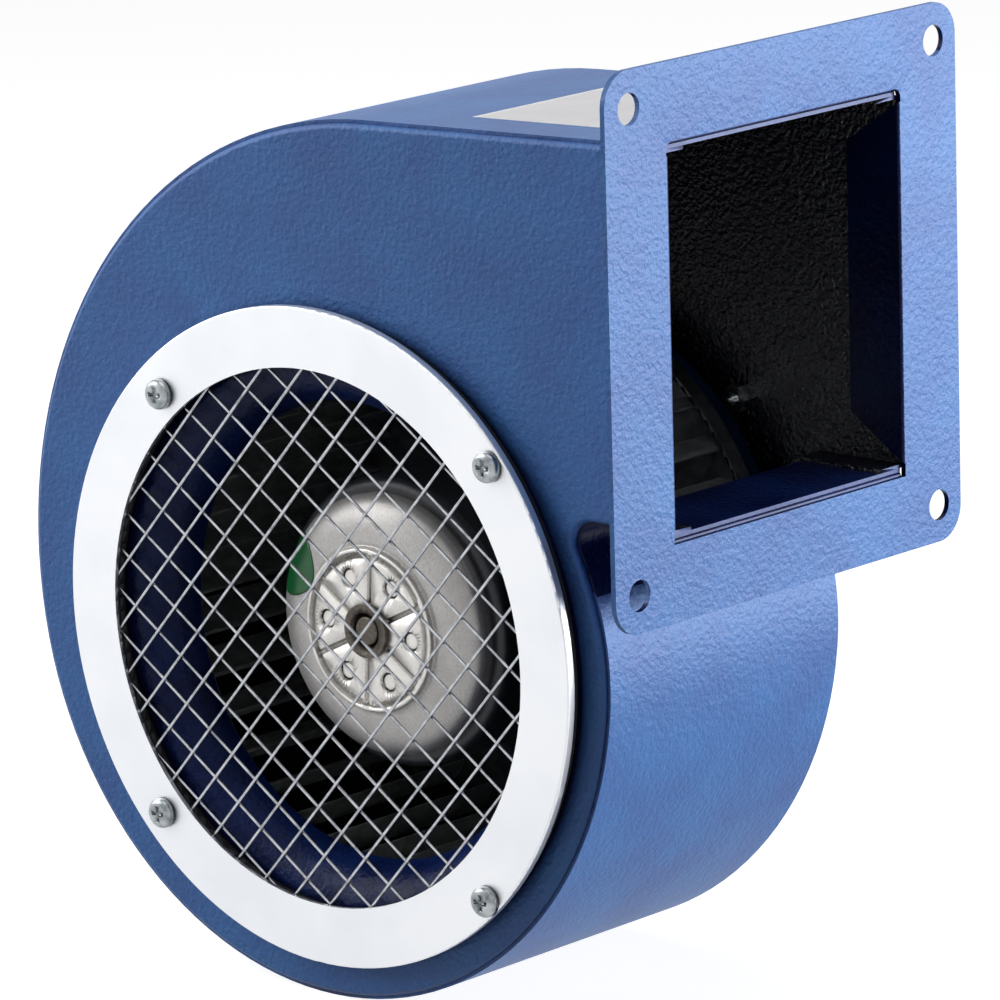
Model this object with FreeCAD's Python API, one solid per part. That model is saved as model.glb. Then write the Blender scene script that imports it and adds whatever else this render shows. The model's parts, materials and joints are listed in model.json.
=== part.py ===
import FreeCAD, Part
import math
import os

from FreeCAD import Vector

# Millimetres. The pieces are drawn about the fan's axis: x runs towards the outlet, y from the
# inlet side to the motor side and z up. y is 0 at the outer face of the inlet side plate.
# They are then moved so that the origin is the centre of the outlet flange's face.

# Impeller: a forward-curved wheel
impeller_radius = 80.0
blade_depth = 14.5          # from the blades' inner edge to their outer edge, along a radius
blade_count = 36
blade_thickness = 0.8
blade_radius = 11.0         # of the arc that each blade follows
blade_lead = 5.5            # degrees by which the outer edge runs ahead of the inner one
blade_inset = 0.5           # from the wheel's bore and rim to the blades' edges
impeller_sheet = 1.2
impeller_lip = 5.0          # height of the rims turned round the blades' ends, over all
impeller_lip_gap = 0.2

# Housing: two side plates and a wrap of sheet steel
sheet = 1.0
housing_depth = 97.0
plate_corner = 1.6          # rounding between a side plate's face and its turned rim
plate_rim = 9.4             # depth of the turned rim, over the face
side_radius = 105.5         # middle arc of the scroll
top_radius = 131.6          # last arc of the scroll, up to the roof
side_turn = 191.4           # degrees from +x where the top arc meets the side arc
base_turn = 238.5           # degrees from +x where the side arc meets the base arc
base_margin = 13.3          # from the guard ring's radius to the base arc's
base_shift = (-8.9, 2.9)    # the base arc's centre, from the fan's axis
tail_radius = 77.0          # of the short arc that closes in on the cut-off
wrap_end = -6.0             # degrees from +x where the wrap meets the cut-off sheet
roof_rise = 1.8             # degrees by which the roof climbs towards the outlet
outlet_floor = 42.9         # height of the outlet's underside over the axis
cutoff_radius = 5.0         # rounding of the cut-off, outside
outlet_reach = 116.0        # from the axis to the flange's back

# Outlet flange
flange_thickness = 1.5
flange_side = 22.4          # beyond the housing, at each side
flange_end = 21.6           # beyond the duct, above and below
flange_corner = 9.0
flange_hole = 8.4
hole_side_inset = 9.3
hole_end_inset = 10.0
outlet_gap = 1.1            # between the opening and the duct's roof, and its floor
outlet_corner = 2.5         # at the opening's top; its lower corners are square
tab_reach = 17.5            # of the tabs folded in from the opening's sides, over the flange
tab_thickness = 1.0
tab_margin = 2.5            # from a tab's ends to the duct's roof and floor
tab_mitre = 12.0
tab_round = 0.8
weld_radius = 1.7           # beads between the housing's end and the flange's back
weld_bite = 0.4             # how far a bead runs into the sheets

# Inlet: spun nozzle, spacer ring, wire mesh and flat guard ring
nozzle_gap = 1.5            # between the nozzle's end and the impeller's front ring, all round
nozzle_bell = 12.0          # radius of the nozzle's bell
nozzle_lip = 1.0
nozzle_clearance = 1.0      # between the bell and the hole in the side plate
collar_edge = 2.7           # from the screws' circle to the edge of the nozzle's collar
ring_overlap = 3.5          # how far the guard ring covers the inlet's edge
ring_shift = (-3.3, 0.8)    # the guard ring's centre, from the fan's axis
ring_width = 16.5
ring_thickness = 1.2
ring_skirt = 2.4            # depth of the ring's turned edge, over its face
spacer_inset = 1.4          # from the guard ring's edge to the spacer's
spacer_step = 1.5           # from the guard ring's bore to the spacer's
spacer_thickness = 4.1
wire_diameter = 0.85
wire_pitch = 10.0
wire_play = 0.02
wire_grip = 4.0             # how far the wires run under the guard ring
wire_room = 0.4             # between the wires' ends and the spacer's rebate
rising_wires = 48.5         # degrees from +x
falling_wires = -35.0

# Fasteners: M4 pan heads and hexagon nuts
screw_radius = 2.0
screw_hole = 2.25
screw_head_radius = 4.2
screw_head = 2.8
screw_head_round = 1.7
screw_tip = 1.8             # thread that stands out of the nut
cross_span = 4.4
cross_width = 1.1
cross_depth = 1.2
nut_width = 7.0
nut_height = 3.2
screw_offset = 1.5          # from the guard ring's middle line out to the screws
screw_turn = -2.4           # degrees by which the four screws are turned from the diagonals
nut_fit = 0.03

# Motor: external rotor on a stator that stands on a dished plate
hub_depth = 11.7            # hub face, behind the inlet side plate's outer face
hub_radius = 22.5
hub_step = 1.8
hub_lip = 1.4
hub_round = 0.6             # the lip's outer edge
hub_recess = 1.5            # ring groove inside the lip, and the grooves between its six pads
pad_inset = 0.3             # from the lip's face to the pads'
pad_edge = 1.6              # from the lip to the pads
pad_gap = 1.6
pad_turn = 86.0
cap_radius = 36.0
cap_flat = 30.0             # radius where the cap's face starts to round over
cap_round = 6.0
cap_height = 14.0
cap_wall = 3.0
pin_circle = 15.0
pin_radius = 2.4
pin_play = 0.4              # between a pin and its hole, all round
pin_inset = 0.7             # from the pads' face to the pins'
pin_depth = 1.8
pin_round = 0.6
bush_radius = 7.4
bush_length = 17.0
bush_proud = 1.2
bush_bore = 5.1             # wider start of the bush's bore
bush_bore_depth = 2.5
shaft_radius = 4.0
shaft_inset = 0.5           # from the bush's face to the shaft's end
shaft_chamfer = 0.5
shaft_tail = 0.5            # shaft that stands out behind the clip
shell_radius = 40.0
shell_wall = 1.5
shell_round = 3.0
shell_step = 10.3           # from the hub face to the shell's front
shell_flange = 8.0
rivet_radius = 1.6
rivet_head = 1.3
rivet_round = 0.8
rivet_count = 6
core_start = 12.0           # shell front to the laminations
core_end = 17.0             # laminations to the impeller's disc
rotor_core_depth = 9.1
air_gap = 0.4
winding_gap = 3.5           # windings to the rotor core's bore
winding_length = 8.5
winding_round = 2.1
slot_count = 12
slot_radius = 2.6
slot_inset = 5.5            # from the stator's edge to the slots' middles
bearing_radius = 11.0
bearing_width = 7.0
race_depth = 2.3
race_gap = 0.05
shield_thickness = 0.8
tube_wall = 2.0
tube_step = 2.0             # shoulder that each bearing sits against
tube_front = 8.0            # shell front to the front bearing
base_radius_gap = 2.5       # stator base to the shell's bore
base_thickness = 7.0
base_skin = 2.0             # metal in front of the motor screws' holes
bearing_inset = 4.0         # from the base's back to the rear bearing
disc_gap = 9.8              # impeller's disc to the motor side plate's inner face
seat_gap = 3.8              # impeller's disc to the motor's seat on the dish
plate_thickness = 1.5
plate_radius = 88.6
dish_radius = 50.0
dish_slope = 10.0
motor_screw_circle = 28.0
clip_width = 1.0
clip_radius = 6.2
clip_groove = 0.5
clip_opening = 4.0
grommet_circle = 22.0
grommet_hole = 3.2
grommet_wall = 2.0
grommet_collar = 1.6
grommet_flare = 1.4         # collar beyond the hole in the sheet, all round
grommet_round = 0.7

past = 1.0                  # a cutter runs this far past what it cuts
axis = (0.0, 0.0)

# Worked out from the sizes above
impeller_bore = impeller_radius - blade_depth
throat_radius = impeller_bore - nozzle_gap - sheet
opening_radius = throat_radius + sheet + nozzle_bell + nozzle_clearance
nozzle_end = nozzle_bell + nozzle_lip
ring_bore = opening_radius - ring_overlap
ring_radius = ring_bore + ring_width
screw_circle = (ring_bore + ring_radius) / 2 + screw_offset
base_radius = ring_radius + base_margin
spacer_radius = ring_radius - spacer_inset
collar_radius = screw_circle + collar_edge
spacer_bore = ring_bore + spacer_step
wire_layer = 2 * wire_diameter + 2 * wire_play
ring_back = -(sheet + spacer_thickness)
ring_front = ring_back - ring_thickness
impeller_front = nozzle_end + nozzle_gap
rear_face = housing_depth - sheet
disc_back = rear_face - disc_gap
disc_front = disc_back - impeller_sheet
motor_seat = disc_back + seat_gap
shell_front = hub_depth + shell_step
shell_back = disc_front
cap_front = hub_depth + hub_step
cap_back = hub_depth + cap_height
core_front = shell_front + core_start
core_back = disc_front - core_end
shell_bore = shell_radius - shell_wall
rotor_bore = shell_bore - rotor_core_depth
stator_radius = rotor_bore - air_gap
tube_radius = bearing_radius + tube_wall
front_bearing_start = shell_front + tube_front
rear_bearing_start = motor_seat - bearing_inset - bearing_width
clip_start = rear_bearing_start + bearing_width
plate_back = housing_depth + plate_thickness
seat_back = motor_seat + plate_thickness
flange_face = outlet_reach + flange_thickness


def point(x, z, y=0.0):
    return Vector(x, y, z)


def polar(centre, radius, degrees):
    turn = math.radians(degrees)
    return centre[0] + radius * math.cos(turn), centre[1] + radius * math.sin(turn)


# The scroll's outline is four tangent arcs, a straight roof and a rounded cut-off.
base_centre = base_shift
side_centre = polar(base_centre, base_radius - side_radius, base_turn)
top_centre = polar(side_centre, side_radius - top_radius, side_turn)
roof_start = polar(top_centre, top_radius, 90 + roof_rise)
roof_slope = math.tan(math.radians(roof_rise))
outlet_top = roof_start[1] + (outlet_reach - roof_start[0]) * roof_slope
tail_centre = polar(base_centre, base_radius - tail_radius, wrap_end)
cutoff_height = outlet_floor - cutoff_radius
cutoff_rise = cutoff_height - tail_centre[1]
cutoff_x = tail_centre[0] + math.sqrt((tail_radius + cutoff_radius) ** 2 - cutoff_rise ** 2)
cutoff_centre = (cutoff_x, cutoff_height)
cutoff_turn = math.degrees(math.atan2(cutoff_rise, cutoff_x - tail_centre[0]))
outlet_middle = (outlet_top + outlet_floor) / 2
origin = Vector(flange_face, housing_depth / 2, outlet_middle)
grommet_place = (0, -grommet_circle)


def save(name, shape):
    placed = shape.copy()
    placed.translate(origin.negative())
    placed.exportStep(os.path.join("parts", name + ".step"))


def arc_edge(centre, radius, start, end):
    ends = [polar(centre, radius, degrees) for degrees in (start, (start + end) / 2, end)]
    return Part.Arc(*[point(*place) for place in ends]).toShape()


def line_edge(start, end):
    return Part.LineSegment(point(*start), point(*end)).toShape()


def roof_height(inset, reach):
    start = polar(top_centre, top_radius - inset, 90 + roof_rise)
    return start[1] + (reach - start[0]) * roof_slope


def chain(inset, reach):
    # The outline's edges in order, each one a distance inside the wrap's outer surface:
    # roof, top arc, side arc, base arc, tail arc beyond the wrap's end, cut-off, floor.
    start = polar(top_centre, top_radius - inset, 90 + roof_rise)
    floor = outlet_floor + inset
    return [
        line_edge((reach, roof_height(inset, reach)), start),
        arc_edge(top_centre, top_radius - inset, 90 + roof_rise, side_turn),
        arc_edge(side_centre, side_radius - inset, side_turn, base_turn),
        arc_edge(base_centre, base_radius - inset, base_turn, 360 + wrap_end),
        arc_edge(tail_centre, tail_radius - inset, 360 + wrap_end, 360 + cutoff_turn),
        arc_edge(cutoff_centre, cutoff_radius + inset, cutoff_turn + 180, 90),
        line_edge((cutoff_centre[0], floor), (reach, floor)),
    ]


def prism(edges, start, end):
    face = Part.Face(Part.Wire(Part.__sortEdges__(edges)))
    face.translate(Vector(0, start, 0))
    return face.extrude(Vector(0, end - start, 0))


def scroll_block(inset, reach, start, end):
    edges = chain(inset, reach)
    edges.append(line_edge((reach, outlet_floor + inset), (reach, roof_height(inset, reach))))
    return prism(edges, start, end)


def strip(first, last):
    # A band of sheet that follows part of the outline, over the side plates' rims
    outer = chain(0, outlet_reach)[first:last]
    inner = chain(sheet, outlet_reach)[first:last]
    head = Part.LineSegment(outer[0].Vertexes[0].Point, inner[0].Vertexes[0].Point)
    tail = Part.LineSegment(outer[-1].Vertexes[-1].Point, inner[-1].Vertexes[-1].Point)
    edges = outer + inner + [head.toShape(), tail.toShape()]
    return prism(edges, plate_corner, housing_depth - plate_corner)


def disc(radius, start, end, centre=axis):
    return Part.makeCylinder(radius, end - start, point(*centre, start), Vector(0, 1, 0))


def ring(radius, bore, start, end):
    return disc(radius, start, end).cut(disc(bore, start - past, end + past))


def turned(*steps):
    # A solid of revolution about the fan's axis. Each step is (radius, y), or a pair of them
    # for an arc: a point on the way and its end.
    edges = []
    here = steps[0]
    for step in steps[1:] + (steps[0],):
        if isinstance(step[0], tuple):
            places = [Vector(r, y, 0) for r, y in (here, step[0], step[1])]
            edges.append(Part.Arc(*places).toShape())
            here = step[1]
        else:
            places = [Vector(r, y, 0) for r, y in (here, step)]
            edges.append(Part.LineSegment(*places).toShape())
            here = step
    face = Part.Face(Part.Wire(edges))
    return face.revolve(Vector(0, 0, 0), Vector(0, 1, 0), 360)


def bend(centre, radius, start, end):
    # The way point and the end of an arc in a turned section, in degrees from the radius
    return polar(centre, radius, (start + end) / 2), polar(centre, radius, end)


def around(count, turn, radius):
    return [polar(axis, radius, turn + 360.0 * index / count) for index in range(count)]


def screw_places():
    return around(4, 45 + screw_turn, screw_circle)


def drilled(shape, places, radius, start, end):
    for place in places:
        shape = shape.cut(disc(radius, start, end, place))
    return shape


def level_edges(shape, level):
    # Edges that lie in the plane y = level
    flat = [edge for edge in shape.Edges if edge.BoundBox.YLength < 0.01]
    return [edge for edge in flat if abs(edge.BoundBox.YMin - level) < 0.01]


def bent_edges(shape, level):
    # Those of them that the rim turns along: all but the straight one at the flange
    return [edge for edge in level_edges(shape, level) if edge.BoundBox.XLength > 0.01]


def side_plate():
    # Sheet with a rounded rim turned in under the wrap
    outer = scroll_block(sheet, outlet_reach, 0, plate_rim)
    outer = outer.makeFillet(plate_corner, bent_edges(outer, 0))
    inner = scroll_block(2 * sheet, outlet_reach + past, sheet, plate_rim + past)
    inner = inner.makeFillet(plate_corner - sheet, bent_edges(inner, sheet))
    plate = outer.cut(inner).cut(disc(opening_radius, -past, plate_rim))
    return drilled(plate, screw_places(), screw_hole, -past, plate_rim)


def rear_side_plate():
    return side_plate().mirror(Vector(0, housing_depth / 2, 0), Vector(0, 1, 0))


def scroll_wrap():
    # Roof, scroll and base, as one bent strip
    return strip(0, 4)


def cutoff_sheet():
    # The end of the scroll, the cut-off and the outlet's floor
    return strip(4, 7)


def rounded_sheet(low, high, radius, start, end):
    # A flat sheet across the x axis with rounded corners; low and high are (y, z)
    size = Vector(end - start, high[0] - low[0], high[1] - low[1])
    block = Part.makeBox(size.x, size.y, size.z, Vector(start, low[0], low[1]))
    corners = [edge for edge in block.Edges if edge.BoundBox.XLength > 0.5 * size.x]
    return block.makeFillet(radius, corners)


def flange_hole_places():
    ys = (hole_side_inset - flange_side, housing_depth + flange_side - hole_side_inset)
    zs = (outlet_floor - flange_end + hole_end_inset, outlet_top + flange_end - hole_end_inset)
    return [(y, z) for y in ys for z in zs]


def flange_tab():
    # A mitred tab folded in from the opening's side, against the inlet side plate
    low = outlet_floor + tab_margin
    high = outlet_top - tab_margin
    end = flange_face - tab_reach
    corners = [(flange_face, low), (end, low + tab_mitre), (end, high - tab_mitre), (flange_face, high)]
    outline = Part.makePolygon([point(*corner, sheet) for corner in corners + corners[:1]])
    tab = Part.Face(outline).extrude(Vector(0, tab_thickness, 0))
    fold = [edge for edge in tab.Edges if edge.BoundBox.XMin > flange_face - 0.01]
    fold = [edge for edge in fold if edge.BoundBox.YMin > sheet + 0.01]
    return tab.makeFillet(tab_round, fold)


def flange_welds():
    # Round beads along the roof, the floor and both sides, less the housing itself
    inset = weld_radius - weld_bite
    x = outlet_reach - inset
    width = housing_depth - 2 * plate_corner
    height = outlet_top - outlet_floor - 2 * plate_corner
    beads = []
    for z in (outlet_floor - inset, outlet_top + inset):
        start = Vector(x, plate_corner, z)
        beads.append(Part.makeCylinder(weld_radius, width, start, Vector(0, 1, 0)))
    for y in (-inset, housing_depth + inset):
        start = Vector(x, y, outlet_floor + plate_corner)
        beads.append(Part.makeCylinder(weld_radius, height, start, Vector(0, 0, 1)))
    roofed = scroll_block(0, flange_face, plate_corner, housing_depth - plate_corner)
    housing = roofed.fuse(scroll_block(sheet, flange_face, 0, housing_depth))
    return [bead.cut(housing) for bead in beads]


def outlet_flange():
    # The side plates end on its back; the roof and the floor end in its opening
    low = (-flange_side, outlet_floor - flange_end)
    high = (housing_depth + flange_side, outlet_top + flange_end)
    plate = rounded_sheet(low, high, flange_corner, outlet_reach, flange_face)
    low = (sheet, outlet_floor - outlet_gap)
    high = (housing_depth - sheet, outlet_top + outlet_gap)
    ends = (outlet_reach - past, flange_face + past)
    plate = plate.cut(rounded_sheet(low, high, outlet_corner, *ends))
    size = Vector(ends[1] - ends[0], high[0] - low[0], outlet_middle - low[1])
    plate = plate.cut(Part.makeBox(*size, Vector(ends[0], *low)))
    tab = flange_tab()
    other = tab.mirror(Vector(0, housing_depth / 2, 0), Vector(0, 1, 0))
    plate = plate.fuse([tab, other] + flange_welds()).removeSplitter()
    for y, z in flange_hole_places():
        start = Vector(outlet_reach - past, y, z)
        length = flange_thickness + 2 * past
        plate = plate.cut(Part.makeCylinder(flange_hole / 2, length, start, Vector(1, 0, 0)))
    return plate


def inlet_nozzle():
    # Flat collar on the side plate, then a bell that narrows to the throat
    bell_centre = (throat_radius + sheet + nozzle_bell, nozzle_bell)
    shape = turned(
        (collar_radius, -sheet),
        (bell_centre[0], -sheet),
        bend(bell_centre, nozzle_bell + sheet, 270, 180),
        (throat_radius, nozzle_end),
        (throat_radius + sheet, nozzle_end),
        (throat_radius + sheet, nozzle_bell),
        bend(bell_centre, nozzle_bell, 180, 270),
        (collar_radius, 0),
    )
    return drilled(shape, screw_places(), screw_hole, -sheet - past, past)


def guard_spacer():
    # Black ring under the guard ring, rebated for the ends of the wires
    rebate = ring_back + wire_layer
    rebate_radius = ring_bore + wire_grip + wire_room
    shape = turned(
        (spacer_bore, -sheet),
        (spacer_bore, rebate),
        (rebate_radius, rebate),
        (rebate_radius, ring_back),
        (spacer_radius, ring_back),
        (spacer_radius, -sheet),
    )
    shape.translate(point(*ring_shift))
    return drilled(shape, screw_places(), screw_hole, ring_back - past, 0)


def guard_ring():
    # Flat ring with a rounded outer edge turned back over the spacer
    round_edge = ring_thickness / 2
    corner = (ring_radius - round_edge, ring_front + round_edge)
    skirt_end = ring_front + ring_skirt
    skirt_bore = ring_radius - ring_thickness
    shape = turned(
        (ring_bore, ring_back),
        (ring_bore, ring_front),
        (corner[0], ring_front),
        bend(corner, round_edge, 270, 360),
        (ring_radius, skirt_end),
        (skirt_bore, skirt_end),
        (skirt_bore, ring_back),
    )
    shape.translate(point(*ring_shift))
    return drilled(shape, screw_places(), screw_hole, ring_front - past, 0)


def wires(degrees, level):
    # Parallel wires across the inlet, each cut to the chord that the ring covers
    reach = ring_bore + wire_grip
    half = int((reach - wire_diameter) // wire_pitch)
    along = math.radians(degrees)
    direction = Vector(math.cos(along), 0, math.sin(along))
    across = Vector(math.sin(along), 0, -math.cos(along))
    rods = []
    for index in range(-half, half + 1):
        offset = index * wire_pitch
        chord = math.sqrt(reach ** 2 - offset ** 2)
        start = across * offset - direction * chord + point(*ring_shift, level)
        rods.append(Part.makeCylinder(wire_diameter / 2, 2 * chord, start, direction))
    return Part.makeCompound(rods)


def rising_guard_wires():
    return wires(rising_wires, ring_back + wire_play / 2 + wire_diameter / 2)


def falling_guard_wires():
    return wires(falling_wires, ring_back + 1.5 * wire_play + 1.5 * wire_diameter)


def pan_screw(place, seat, length, sign):
    # A cross-head screw that points along sign * y, with its head on the plane y = seat
    top = seat - sign * screw_head
    head = Part.makeCylinder(screw_head_radius, screw_head, point(*place, seat), Vector(0, -sign, 0))
    head = head.makeFillet(screw_head_round, level_edges(head, top))
    for width, span in ((cross_width, cross_span), (cross_span, cross_width)):
        slot = Part.makeBox(width, 2 * cross_depth, span)
        slot.translate(point(place[0] - width / 2, place[1] - span / 2, top - cross_depth))
        head = head.cut(slot)
    shank = Part.makeCylinder(screw_radius, length, point(*place, seat), Vector(0, sign, 0))
    return head.fuse(shank).removeSplitter()


def nut(place, start):
    corner = nut_width / math.sqrt(3)
    corners = [point(*polar(place, corner, 60 * index), start) for index in range(7)]
    block = Part.Face(Part.makePolygon(corners)).extrude(Vector(0, nut_height, 0))
    return block.cut(disc(screw_radius + nut_fit, start - past, start + nut_height + past, place))


def guard_screws():
    length = sheet - ring_front + nut_height + screw_tip
    return Part.makeCompound([pan_screw(place, ring_front, length, 1) for place in screw_places()])


def guard_nuts():
    return Part.makeCompound([nut(place, sheet) for place in screw_places()])


def motor_plate():
    # A dished disc that closes the rear opening and carries the motor on its sunken floor
    rim = dish_radius + dish_slope
    slope = math.atan2(housing_depth - motor_seat, dish_slope)
    inset = plate_thickness * math.tan(slope / 2)
    shape = turned(
        (0, motor_seat),
        (dish_radius, motor_seat),
        (rim, housing_depth),
        (plate_radius, housing_depth),
        (plate_radius, plate_back),
        (rim - inset, plate_back),
        (dish_radius - inset, seat_back),
        (0, seat_back),
    )
    shape = drilled(shape, screw_places(), screw_hole, housing_depth - past, plate_back + past)
    shape = drilled(shape, motor_screw_places(), screw_hole, motor_seat - past, seat_back + past)
    hole = grommet_hole + grommet_wall
    return shape.cut(disc(hole, motor_seat - past, seat_back + past, grommet_place))


def motor_plate_screws():
    length = plate_thickness + sheet + nut_height + screw_tip
    return Part.makeCompound([pan_screw(place, plate_back, length, -1) for place in screw_places()])


def motor_plate_nuts():
    start = rear_face - nut_height
    return Part.makeCompound([nut(place, start) for place in screw_places()])


def motor_screw_places():
    return around(4, 45, motor_screw_circle)


def motor_screws():
    length = plate_thickness + base_thickness - base_skin
    return Part.makeCompound([pan_screw(place, seat_back, length, -1) for place in motor_screw_places()])


def stator_base():
    # Cast foot and bearing tube, turned in one piece, with a seat for a bearing at each end
    foot_radius = shell_bore - base_radius_gap
    foot_front = motor_seat - base_thickness
    front_seat = front_bearing_start + bearing_width
    shape = turned(
        (bearing_radius, front_bearing_start),
        (tube_radius, front_bearing_start),
        (tube_radius, foot_front),
        (foot_radius, foot_front),
        (foot_radius, motor_seat),
        (bearing_radius, motor_seat),
        (bearing_radius, rear_bearing_start),
        (bearing_radius - tube_step, rear_bearing_start),
        (bearing_radius - tube_step, front_seat),
        (bearing_radius, front_seat),
    )
    start = foot_front + base_skin
    shape = drilled(shape, motor_screw_places(), screw_radius + nut_fit, start, motor_seat + past)
    return shape.cut(disc(grommet_hole, foot_front - past, motor_seat + past, grommet_place))


def stator_core():
    # Stack of laminations with round slots
    core = ring(stator_radius, tube_radius, core_front, core_back)
    places = around(slot_count, 0, stator_radius - slot_inset)
    return drilled(core, places, slot_radius, core_front - past, core_back + past)


def winding(start, end):
    coil = ring(stator_radius - winding_gap, tube_radius + winding_gap, start, end)
    return coil.makeFillet(winding_round, level_edges(coil, start) + level_edges(coil, end))


def front_winding():
    return winding(core_front - winding_length, core_front)


def rear_winding():
    return winding(core_back, core_back + winding_length)


def outer_race(start):
    # Outer race with its two shields, which stop just short of the inner race
    inner = shaft_radius + race_depth
    shield = ring(bearing_radius, inner + race_gap, start, start + bearing_width)
    front = start + shield_thickness
    back = start + bearing_width - shield_thickness
    hollow = ring(bearing_radius - race_depth, inner, front, back)
    return shield.cut(hollow)


def inner_race(start):
    return ring(shaft_radius + race_depth, shaft_radius, start, start + bearing_width)


def front_bearing_outer():
    return outer_race(front_bearing_start)


def rear_bearing_outer():
    return outer_race(rear_bearing_start)


def front_bearing_inner():
    return inner_race(front_bearing_start)


def rear_bearing_inner():
    return inner_race(rear_bearing_start)


def shaft():
    start = hub_depth - bush_proud + shaft_inset
    end = clip_start + clip_width + shaft_tail
    rod = disc(shaft_radius, start, end)
    rod = rod.makeChamfer(shaft_chamfer, level_edges(rod, start) + level_edges(rod, end))
    groove = ring(shaft_radius + past, shaft_radius - clip_groove, clip_start, clip_start + clip_width)
    return rod.cut(groove)


def retaining_clip():
    clip = ring(clip_radius, shaft_radius - clip_groove, clip_start, clip_start + clip_width)
    gap = Part.makeBox(clip_opening, clip_width + 2 * past, clip_radius + past)
    gap.translate(Vector(-clip_opening / 2, clip_start - past, 0))
    return clip.cut(gap)


def hub_bush():
    start = hub_depth - bush_proud
    bush = ring(bush_radius, shaft_radius, start, start + bush_length)
    return bush.cut(disc(bush_bore, start - past, start + bush_bore_depth))


def rotor_cap():
    # Cast cap: raised hub with a lip, six pads and their grooves, then a rounded shoulder
    shoulder = (cap_flat, cap_front + cap_round)
    lip = (hub_radius - hub_round, hub_depth + hub_round)
    pad_face = hub_depth + pad_inset
    hub_floor = pad_face + hub_recess
    pad_radius = hub_radius - hub_lip - pad_edge
    inner_face = cap_front + cap_wall
    shape = turned(
        (bush_radius, pad_face),
        (pad_radius, pad_face),
        (pad_radius, hub_floor),
        (hub_radius - hub_lip, hub_floor),
        (hub_radius - hub_lip, hub_depth),
        (lip[0], hub_depth),
        bend(lip, hub_round, 270, 360),
        (hub_radius, cap_front),
        (cap_flat, cap_front),
        bend(shoulder, cap_round, 270, 360),
        (cap_radius, cap_back),
        (cap_radius - cap_wall, cap_back),
        (cap_radius - cap_wall, inner_face),
        (bush_radius + cap_wall, inner_face),
        (bush_radius + cap_wall, cap_back),
        (bush_radius, cap_back),
    )
    groove_length = hub_radius - hub_lip - bush_radius
    for index in range(6):
        groove = Part.makeBox(groove_length, hub_recess, pad_gap)
        groove.translate(Vector(bush_radius, pad_face, -pad_gap / 2))
        groove.rotate(Vector(0, 0, 0), Vector(0, 1, 0), -(pad_turn + 60 * index))
        shape = shape.cut(groove)
    return drilled(shape, pin_places(), pin_radius + pin_play, pad_face - past, pad_face + pin_depth)


def pin_places():
    return around(6, pad_turn + 30, pin_circle)


def hub_pins():
    # Rounded pin ends, sunk in the hub's six pads
    floor = hub_depth + pad_inset + pin_depth
    top = hub_depth + pad_inset + pin_inset
    pins = []
    for place in pin_places():
        pin = disc(pin_radius, top, floor, place)
        pins.append(pin.makeFillet(pin_round, level_edges(pin, top)))
    return Part.makeCompound(pins)


def rotor_shell():
    # Steel pot round the rotor's laminations, with a flange for the impeller
    outer = (shell_radius - shell_round, shell_front + shell_round)
    inner = shell_round - shell_wall
    shape = turned(
        (cap_radius, shell_front),
        (outer[0], shell_front),
        bend(outer, shell_round, 270, 360),
        (shell_radius, shell_back - shell_wall),
        (shell_radius + shell_flange, shell_back - shell_wall),
        (shell_radius + shell_flange, shell_back),
        (shell_bore, shell_back),
        (shell_bore, outer[1]),
        bend(outer, inner, 360, 270),
        (cap_radius, shell_front + shell_wall),
    )
    hole_start = shell_back - shell_wall - past
    return drilled(shape, rivet_places(), rivet_radius + nut_fit, hole_start, shell_back + past)


def rotor_core():
    return ring(shell_bore, rotor_bore, core_front, core_back)


def blade(turn):
    # A strip bent to an arc; its outer edge leads the way the wheel turns
    inner = point(*polar(axis, impeller_bore + blade_inset, turn))
    outer = point(*polar(axis, impeller_radius - blade_inset, turn - blade_lead))
    half = (outer - inner) * 0.5
    normal = half.cross(Vector(0, 1, 0)).normalize()
    centre = inner + half - normal * math.sqrt(blade_radius ** 2 - half.Length ** 2)
    middle = centre + normal * blade_radius
    spots = (inner, middle, outer)
    grow = blade_thickness / 2 / blade_radius
    near = [spot + (spot - centre) * grow for spot in spots]
    far = [spot - (spot - centre) * grow for spot in spots]
    edges = [
        Part.Arc(*near).toShape(),
        Part.LineSegment(near[2], far[2]).toShape(),
        Part.Arc(*far[::-1]).toShape(),
        Part.LineSegment(far[0], near[0]).toShape(),
    ]
    face = Part.Face(Part.Wire(edges))
    start = impeller_front + impeller_sheet
    face.translate(Vector(0, start, 0))
    return face.extrude(Vector(0, disc_front - start, 0))


def impeller_blades():
    return Part.makeCompound([blade(360.0 * index / blade_count) for index in range(blade_count)])


def impeller_front_ring():
    # Flat ring with a rim turned back round the blades' front ends
    rim = impeller_radius + impeller_lip_gap
    seat = impeller_front + impeller_sheet
    lip_end = impeller_front + impeller_lip
    return turned(
        (impeller_bore, impeller_front),
        (rim + impeller_sheet, impeller_front),
        (rim + impeller_sheet, lip_end),
        (rim, lip_end),
        (rim, seat),
        (impeller_bore, seat),
    )


def impeller_disc():
    # Back disc with a rim turned forward round the blades' ends
    rim = impeller_radius + impeller_lip_gap
    lip_end = disc_back - impeller_lip
    shape = turned(
        (shell_radius + impeller_lip_gap, disc_front),
        (rim, disc_front),
        (rim, lip_end),
        (rim + impeller_sheet, lip_end),
        (rim + impeller_sheet, disc_back),
        (shell_radius + impeller_lip_gap, disc_back),
    )
    return drilled(shape, rivet_places(), rivet_radius + nut_fit, disc_front - past, disc_back + past)


def rivet_places():
    return around(rivet_count, 30, shell_radius + shell_flange / 2)


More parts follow.
